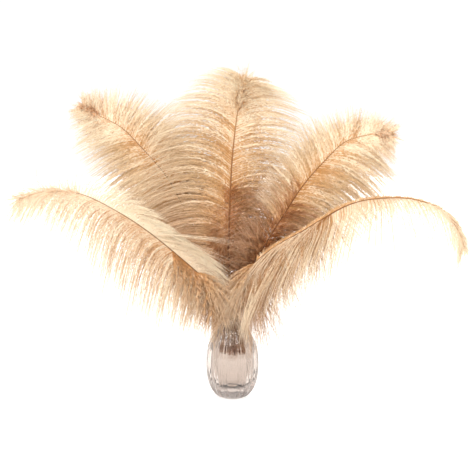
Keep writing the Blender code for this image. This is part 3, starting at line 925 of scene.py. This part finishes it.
    def waved(self, paths: np.ndarray, face: np.ndarray, place: np.ndarray) -> np.ndarray:
        """Crimps the barbs a little, neighbours mostly alike.

        Args:
            paths: Points of each barb.
            face: Direction out of the vane for each barb.
            place: Place of each barb along the shaft, by which neighbours share their waves.

        Returns:
            The moved points.
        """
        rng = self.rng
        count = len(paths)
        t = np.linspace(0.0, 1.0, paths.shape[1])[None, :]
        ways = unit(np.gradient(paths, axis=1))
        beside = unit(np.cross(ways, face[:, None, :]))
        for direction, size in zip((beside, face[:, None, :]), self.crimps):
            phase = (ripple(rng, place, 8.0) * 3.0 + rng.normal(0.0, 0.7, count))[:, None]
            waves = (2.0 + ripple(rng, place, 5.0) * 0.7 + rng.normal(0.0, 0.25, count))[:, None]
            height = rng.uniform(0.4, 1.2, count)[:, None] * size
            swing = (np.sin(phase + waves * math.tau * t) - np.sin(phase)) * height * smooth(t / 0.4)
            paths = paths + direction * swing[:, :, None]
        return paths

    def down(self, down: Down) -> Barbs:
        """Grows loose down round a part of the shaft.

        Args:
            down: The numbers of this down.

        Returns:
            Its barbs.
        """
        rng = self.rng
        count = down.count
        along = rng.uniform(down.low, down.high, count)
        along += self.shaft.length if down.low < 0.0 else 0.0
        root = self.shaft.frames(along)
        round_it = np.radians(down.facing + rng.uniform(-1.0, 1.0, count) * down.spread)[:, None]
        outward = root.face * np.cos(round_it) + root.across * np.sin(round_it)
        lean = np.radians(down.lean + rng.normal(0.0, down.sway, count))
        comb = lean + np.radians(rng.normal(1.0, 1.2, count) * down.curl)
        length = down.length * rng.uniform(0.55, 1.15, count)
        droop = down.droop * rng.uniform(0.6, 1.3, count)
        by = self.down_combed_by
        paths = self.grow(root, outward, lean, comb, length, droop, by, self.down_steps)
        paths = self.waved(paths, outward, along / self.shaft.length)
        paths = self.held_in_glass(paths) if down.bound else paths
        tone = self.middle_tone + down.pale + rng.normal(0.0, 0.14, count)
        # Painted shade darkens and browns the down as it does the lowest barbs, except the down inside the
        # glass.
        tone -= self.plume.painted_base_shade * self.painted_shade_darkening
        hue = -down.rust_and_shade * rng.uniform(0.6, 1.0, count) - (0.0 if down.bound else self.plume.painted_base_shade)
        if down.low < 0.0:
            hue = np.full(count, self.plume.blush * 0.6)
            tone += 0.12
        breadth = np.full(count, self.down_breadth)
        return Barbs(paths, outward, tone, hue, breadth, np.full(count, down.fluff))

    def held_in_glass(self, paths: np.ndarray) -> np.ndarray:
        """Keeps points within the hollow of the vase."""
        radius = np.linalg.norm(paths[..., :2], axis=-1)
        room = PROFILE.inner_radius(paths[..., 2]) - self.glass_gap
        paths[..., :2] *= np.minimum(1.0, room / np.maximum(radius, 1e-6))[..., None]
        return paths

    def clear_of_glass(self, paths: np.ndarray) -> np.ndarray:
        """Keeps points that hang beside the neck outside the glass."""
        radius = np.linalg.norm(paths[..., :2], axis=-1)
        low = paths[..., 2] < RIM_HEIGHT + self.glass_gap
        room = PROFILE.outer_radius(paths[..., 2]) + self.glass_gap
        scale = np.where(low & (radius < room), room / np.maximum(radius, 1e-6), 1.0)
        paths[..., :2] *= scale[..., None]
        return paths

    def barb_tubes(self, barbs: Barbs, rows: tuple) -> tuple:
        """Makes each barb a slim flat tube with three corners and a pointed end.

        Args:
            barbs: The barbs.
            rows: The bake map's row of the first barb, and the number of rows in all.

        Returns:
            Corner points, triangles, colour facts and bake map places of each corner point.
        """
        paths = barbs.paths
        count, rings = paths.shape[:2]
        t = np.linspace(0.0, 1.0, rings)
        ways = unit(np.gradient(paths, axis=1))
        beside = unit(np.cross(ways, barbs.face[:, None, :]))
        facing = np.cross(beside, ways)
        radius = passing(self.barb_radius, t)[None, :, None] * barbs.breadth[:, None, None]
        corners = []
        for turn in (90.0, 210.0, 330.0):
            a = math.radians(turn)
            corners.append(paths + (beside * math.cos(a) + facing * (math.sin(a) * self.flatness)) * radius)
        points = np.stack(corners, axis=2).reshape(-1, 3)
        ring = np.arange(count * rings).reshape(count, rings)[:, :-1, None] * 3
        here = np.arange(3)[None, None, :]
        after = (here + 1) % 3
        quads = [ring + here, ring + after, ring + 3 + after, ring + 3 + here]
        a, b, c, d = (q.reshape(-1) for q in quads)
        faces = np.concatenate([np.stack([a, b, c], 1), np.stack([a, c, d], 1)])
        row = np.repeat(np.arange(count), rings * 3)
        along = np.tile(np.repeat(t, 3), count)
        facts = np.stack([along, barbs.tone[row], barbs.hue[row]], 1)
        across = rows[0] + row + np.tile([0.1, 0.5, 0.9], count * rings)
        place = np.stack([along, across / rows[1]], 1)
        return points, faces, facts, place

    def barbules(self, barbs: Barbs, rows: tuple, budget: float) -> tuple:
        """Sets slim barbules along both edges of each barb, as many as the budget allows.

        Args:
            barbs: The barbs.
            rows: The bake map's row of the first barb, and the number of rows in all.
            budget: Number of barbules, at most.

        Returns:
            Corner points, triangles, colour facts and bake map places of each corner point.
        """
        rng = self.rng
        lengths = barbs.lengths()
        wanted = barbs.wanted()
        owner = np.repeat(np.arange(len(lengths)), np.floor(budget * wanted / wanted.sum()).astype(int))
        total = len(owner)
        t = rng.random(total) ** 1.15
        scaled = t * (barbs.paths.shape[1] - 1)
        span = scaled.astype(int)
        rest = (scaled - span)[:, None]
        low, high = barbs.paths[owner, span], barbs.paths[owner, span + 1]
        base = low * (1 - rest) + high * rest
        way = unit(high - low)
        beside = unit(np.cross(way, barbs.face[owner]))
        facing = np.cross(beside, way)
        angle = self.barbule_angle - self.barbule_closing * t
        angle = np.radians(angle + rng.normal(0.0, self.barbule_angle_spread, total))[:, None]
        tilt = rng.normal(self.barbule_tilt, self.barbule_tilt_spread, total)[:, None]
        out = beside * rng.choice([-1.0, 1.0], total)[:, None] * np.cos(tilt) + facing * np.sin(tilt)
        heading = way * np.cos(angle) + out * np.sin(angle)
        reach = self.barbule_length * rng.uniform(0.55, 1.15, total) * (0.3 + 0.7 * smooth(t / 0.08))
        reach *= barbs.fluff[owner]
        reach *= 1.0 - 0.8 * smooth((t - 0.45) / 0.55)
        twist = rng.uniform(-1.0, 1.0, total)[:, None]
        width = self.barbule_width + (self.barbule_tip_width - self.barbule_width) * smooth(t / 0.8)
        wide = unit(np.cross(heading, facing + out * twist)) * (width * barbs.fluff[owner] / 2)[:, None]
        points = np.stack([base - wide, base + wide, base + heading * reach[:, None]], 1).reshape(-1, 3)
        faces = np.arange(total * 3).reshape(total, 3)
        end = np.minimum(1.0, t + reach / lengths[owner])
        along = np.stack([t, t, end], 1).reshape(-1)
        row = np.repeat(owner, 3)
        # Barbules are a little darker than their barbs: painted shade for the gaps between barbs.
        tone = np.repeat(barbs.tone[owner] + rng.normal(self.barbule_painted_shade_tone, 0.10, total), 3)
        facts = np.stack([along, tone, barbs.hue[row]], 1)
        apart = np.stack([t, t + BAKE_APART, end], 1).reshape(-1).clip(0.0, 1.0)
        across = rows[0] + row + np.tile([0.1, 0.1, 0.9], total)
        place = np.stack([apart, across / rows[1]], 1)
        return points, faces, facts, place

    def shaft_tube(self) -> tuple:
        """Makes quill and shaft one tapered tube, closed at both ends.

        Returns:
            Corner points, triangles, colour facts and bake map places of each corner point.
        """
        along = np.linspace(0.0, self.shaft.length, self.shaft_rings)
        frames = self.shaft.frames(along)
        share = np.clip((along - self.shaft.bare) / (self.shaft.length - self.shaft.bare), 0.0, 1.0)
        grown = self.shaft_radius * self.plume.stem
        radius = self.quill_radius + (grown - self.quill_radius) * smooth(along / self.shaft.bare)
        radius = radius + (self.tip_radius * self.plume.stem - grown) * share
        radius[0] *= 0.45
        turns = np.arange(self.shaft_corners) / self.shaft_corners * math.tau
        points = np.stack([
            frames.point + (frames.across * math.cos(a) + frames.face * math.sin(a)) * radius[:, None]
            for a in turns
        ], 1).reshape(-1, 3)
        n = self.shaft_corners
        ring = np.arange(self.shaft_rings - 1)[:, None] * n
        here = np.arange(n)[None, :]
        after = (here + 1) % n
        a, b, c, d = ((ring + here), (ring + after), (ring + n + after), (ring + n + here))
        a, b, c, d = (q.reshape(-1) for q in (a, b, c, d))
        ends = np.array([frames.point[0], frames.point[-1] + frames.way[-1] * 2.0])
        first, last = len(points), len(points) + 1
        top = (self.shaft_rings - 1) * n
        caps = [(first, (i + 1) % n, i) for i in range(n)]
        caps += [(last, top + i, top + (i + 1) % n) for i in range(n)]
        faces = np.concatenate([np.stack([a, b, c], 1), np.stack([a, c, d], 1), np.array(caps)])
        points = np.concatenate([points, ends])
        place = np.concatenate([np.repeat(along / self.shaft.length, n), [0.0, 1.0]])
        # How near each corner lies to the shaft's left side, where the material paints a highlight.
        left = np.concatenate([np.tile(np.maximum(0.0, -np.cos(turns)), self.shaft_rings), [0.0, 0.0]])
        facts = np.stack([place, left, np.zeros(len(place))], 1)
        around = np.concatenate([np.tile(np.arange(n) / n, self.shaft_rings), [0.5, 0.5]])
        return points, faces, facts, np.stack([place, around], 1)

    def build(self) -> bpy.types.Object:
        """Builds the feather as one mesh.

        Returns:
            The feather, dressed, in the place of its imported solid.
        """
        vanes = [self.vane(self.plume.right, Side.RIGHT), self.vane(self.plume.left, Side.LEFT)]
        downs = [self.down(down) for down in self.plume.down]
        for part, bound in zip(vanes + downs, [False, False] + [down.bound for down in self.plume.down]):
            part.paths = part.paths if bound else self.clear_of_glass(part.paths)
        kinds = [Barbs.joined(vanes), Barbs.joined(downs)]
        rows = [(0, sum(len(kind.paths) for kind in kinds))]
        rows.append((len(kinds[0].paths), rows[0][1]))
        shaft = self.shaft_tube()
        tubes = [self.barb_tubes(kind, at) for kind, at in zip(kinds, rows)]
        spare = self.triangles - len(shaft[1]) - sum(len(part[1]) for part in tubes)
        wanted = sum(kind.wanted().sum() for kind in kinds)
        budgets = [spare * kind.wanted().sum() / wanted for kind in kinds]
        fluff = [self.barbules(*each) for each in zip(kinds, rows, budgets)]
        piece = mesh_object(f"{self.plume.name}_plume", [shaft] + tubes + fluff)
        piece.data.materials.append(self.shaft_material)
        piece.data.materials.append(self.barb_material)
        slots = np.ones(len(piece.data.polygons), dtype=np.int32)
        slots[:len(shaft[1])] = 0
        piece.data.polygons.foreach_set("material_index", slots)
        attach(piece, "root")
        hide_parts(self.plume.name)
        return piece


def mesh_object(name: str, parts: list) -> bpy.types.Object:
    """Joins arrays of corners and triangles in one object.

    Args:
        name: The piece's name.
        parts: For each part its points, triangles, colour facts and bake map places.

    Returns:
        The object, at the origin.
    """
    offsets = np.cumsum([0] + [len(part[0]) for part in parts[:-1]])
    points = np.concatenate([part[0] for part in parts]) * MM
    faces = np.concatenate([part[1] + offset for part, offset in zip(parts, offsets)])
    facts = np.concatenate([part[2] for part in parts])
    places = np.concatenate([part[3] for part in parts])
    mesh = bpy.data.meshes.new(name)
    mesh.vertices.add(len(points))
    mesh.vertices.foreach_set("co", points.astype(np.float32).ravel())
    mesh.loops.add(len(faces) * 3)
    mesh.loops.foreach_set("vertex_index", faces.astype(np.int32).ravel())
    mesh.polygons.add(len(faces))
    mesh.polygons.foreach_set("loop_start", np.arange(len(faces), dtype=np.int32) * 3)
    mesh.update(calc_edges=True)
    mesh.shade_smooth()
    attribute = mesh.attributes.new(BARB_FACTS, "FLOAT_VECTOR", "POINT")
    attribute.data.foreach_set("vector", facts.astype(np.float32).ravel())
    layer = mesh.uv_layers.new(name=BAKE_MAP)
    layer.data.foreach_set("uv", places[faces.ravel()].astype(np.float32).ravel())
    piece = bpy.data.objects.new(name, mesh)
    bpy.context.scene.collection.objects.link(piece)
    return piece


# Vase


@dataclass
class BudVase:
    """The pressed glass bud vase: a fluted bulb on a thick bottom, with a fire-polished rim.

    Fine ribs run down on top of the flutes, and both fade out under the rim.
    """

    profile: VaseProfile = PROFILE
    finish: PressedGlass = field(default_factory=PressedGlass)
    flutes: int = 16
    steps_to_flute: int = 18
    flute_depth: float = 1.1
    flute_sharpness: float = 1.6
    ribs_to_flute: int = 3
    rib_depth: float = 0.4
    flutes_from: float = -3.0
    flutes_to: float = 92.0
    flute_fade: float = 8.0
    fineness: int = 3

    def section(self) -> tuple:
        """Half section with rounded corners.

        Returns:
            Points from the middle of the foot up the outside, over the rim and down the inside,
            and how many of them belong to the outside.
        """
        foot = ((0.0, 1.2), (7.0, 0.9), (9.6, 0.0))
        outside = passing(self.profile.outside, np.linspace(0, 1, len(self.profile.outside) * self.fineness))
        turned = (self.profile.outside[-1],) + self.profile.rim + (self.profile.inside[0],)
        rim = passing(turned, np.linspace(0, 1, 4 * self.fineness))[1:-1]
        inside = passing(self.profile.inside, np.linspace(0, 1, len(self.profile.inside) * self.fineness))
        inside[-1, 0] = 0.0
        return np.concatenate([foot, outside, rim, inside]), len(foot) + len(outside)

    def build(self) -> bpy.types.Object:
        """Turns the section round and presses the flutes into its outside.

        Returns:
            The vase, dressed.
        """
        section, outside = self.section()
        steps = self.flutes * self.steps_to_flute
        bm = bmesh.new()
        mark = bm.verts.layers.int.new("outside")
        points = [bm.verts.new((radius * MM, 0.0, height * MM)) for radius, height in section]
        edges = [bm.edges.new(pair) for pair in zip(points, points[1:])]
        for i, point in enumerate(points):
            point[mark] = int(i < outside)
        bmesh.ops.spin(
            bm, geom=points + edges, cent=(0, 0, 0), axis=(0, 0, 1), angle=math.tau, steps=steps,
            use_merge=True,
        )
        bmesh.ops.remove_doubles(bm, verts=bm.verts, dist=0.000005)
        for vert in bm.verts:
            if not vert[mark]:
                continue
            height = vert.co.z / MM
            edge = min(height - self.flutes_from, self.flutes_to - height) / self.flute_fade
            turn = math.atan2(vert.co.y, vert.co.x) * self.flutes
            groove = (0.5 - 0.5 * math.cos(turn)) ** self.flute_sharpness
            rib = self.rib_depth * (0.5 - 0.5 * math.cos(turn * self.ribs_to_flute))
            pressed = (self.flute_depth * groove + rib) * float(smooth(np.array(edge)))
            radius = math.hypot(vert.co.x, vert.co.y) / MM
            if radius > pressed:
                vert.co.xy *= (radius - pressed) / radius
        bmesh.ops.recalc_face_normals(bm, faces=bm.faces)
        mesh = bpy.data.meshes.new("bud_vase")
        bm.to_mesh(mesh)
        bm.free()
        mesh.attributes.remove(mesh.attributes["outside"])
        mesh.shade_smooth()
        mesh.materials.append(self.finish.make())
        piece = bpy.data.objects.new("bud_vase", mesh)
        bpy.context.scene.collection.objects.link(piece)
        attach(piece, "root")
        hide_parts("glass_vase")
        return piece


# Studio


@dataclass
class Studio:
    """Plain pale floor, soft light and the camera of the photograph's view."""

    floor_radius: float = 4000.0
    camera_distance: float = 1500.0
    camera_height_deg: float = 6.0
    camera_target: tuple = (2.9, 0.0, 181.5)
    sensor_width: float = 36.0
    pixel_mm: float = 1.1
    picture_pixels: int = 470
    sky: str = "#FFFFFF"
    sky_strength: float = 0.62
    wall_strength: float = 1.05

    def floor(self) -> bpy.types.Object:
        """Lays the paper that the vase stands on."""
        bm = bmesh.new()
        bmesh.ops.create_circle(bm, cap_ends=True, segments=96, radius=self.floor_radius * MM)
        mesh = bpy.data.meshes.new("studio_floor")
        bm.to_mesh(mesh)
        bm.free()
        mesh.materials.append(StudioPaper().make())
        piece = bpy.data.objects.new("studio_floor", mesh)
        bpy.context.scene.collection.objects.link(piece)
        return piece

    def sun_light(self, name: str, comes_from: tuple, angle: float, strength: float, colour: str) -> None:
        """Adds a broad even light from far away.

        Args:
            name: The light's name.
            comes_from: Direction that it comes from.
            angle: How broad it looks, in degrees.
            strength: Its strength in watts for each square metre.
            colour: Its colour as sRGB hex.
        """
        data = bpy.data.lights.new(name, "SUN")
        data.angle = math.radians(angle)
        data.energy = strength
        data.color = linear(colour)[:3]
        light = bpy.data.objects.new(name, data)
        light.rotation_euler = (-Vector(comes_from)).to_track_quat("-Z", "Y").to_euler()
        bpy.context.scene.collection.objects.link(light)

    def light(self) -> None:
        """Sets the white surroundings and the soft lights."""
        world = bpy.data.worlds.new("white_studio")
        world.use_nodes = True
        tree = world.node_tree
        background = tree.nodes["Background"]
        background.inputs["Color"].default_value = linear(self.sky)
        # The wall behind is lit more strongly than what lights the feathers.
        ray = add_node(tree, "ShaderNodeLightPath", {}, {})
        strength = add_node(
            tree, "ShaderNodeMapRange", {"To Min": self.sky_strength, "To Max": self.wall_strength},
            {"Value": ray.outputs["Is Camera Ray"]},
        )
        tree.links.new(strength.outputs["Result"], background.inputs["Strength"])
        bpy.context.scene.world = world
        self.sun_light("key_light", (-0.45, -0.9, 1.1), 28.0, 2.15, "#FFFDF8")
        self.sun_light("top_light", (0.3, 0.35, 1.0), 45.0, 1.2, "#FFFFFF")

    def camera(self) -> None:
        """Places the camera at the photograph's viewing angle."""
        data = bpy.data.cameras.new("camera")
        data.sensor_width = self.sensor_width
        seen = self.pixel_mm * self.picture_pixels
        data.lens = self.sensor_width * self.camera_distance / seen
        data.clip_start, data.clip_end = 0.05, 50.0
        camera = bpy.data.objects.new("camera", data)
        height = math.radians(self.camera_height_deg)
        back = Vector((0.0, -math.cos(height), math.sin(height)))
        camera.location = (Vector(self.camera_target) + back * self.camera_distance) * MM
        camera.rotation_euler = (-back).to_track_quat("-Z", "Y").to_euler()
        bpy.context.scene.collection.objects.link(camera)
        bpy.context.scene.camera = camera


def main() -> None:
    """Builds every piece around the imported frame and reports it."""
    logging.basicConfig(level=logging.INFO, format="%(name)s: %(message)s")
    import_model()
    bpy.context.scene.view_settings.view_transform = "Standard"
    studio = Studio()
    studio.floor()
    studio.light()
    studio.camera()
    barb_material = DyedBarbs().make()
    shaft_material = ShaftKeratin().make()
    pieces = [BudVase().build()]
    pieces += [Feather(plume, barb_material, shaft_material).build() for plume in PLUMES]
    for piece in pieces:
        piece.data.calc_loop_triangles()
        log.info("%s: %d triangles", piece.name, len(piece.data.loop_triangles))


if __name__ == "__main__":
    main()
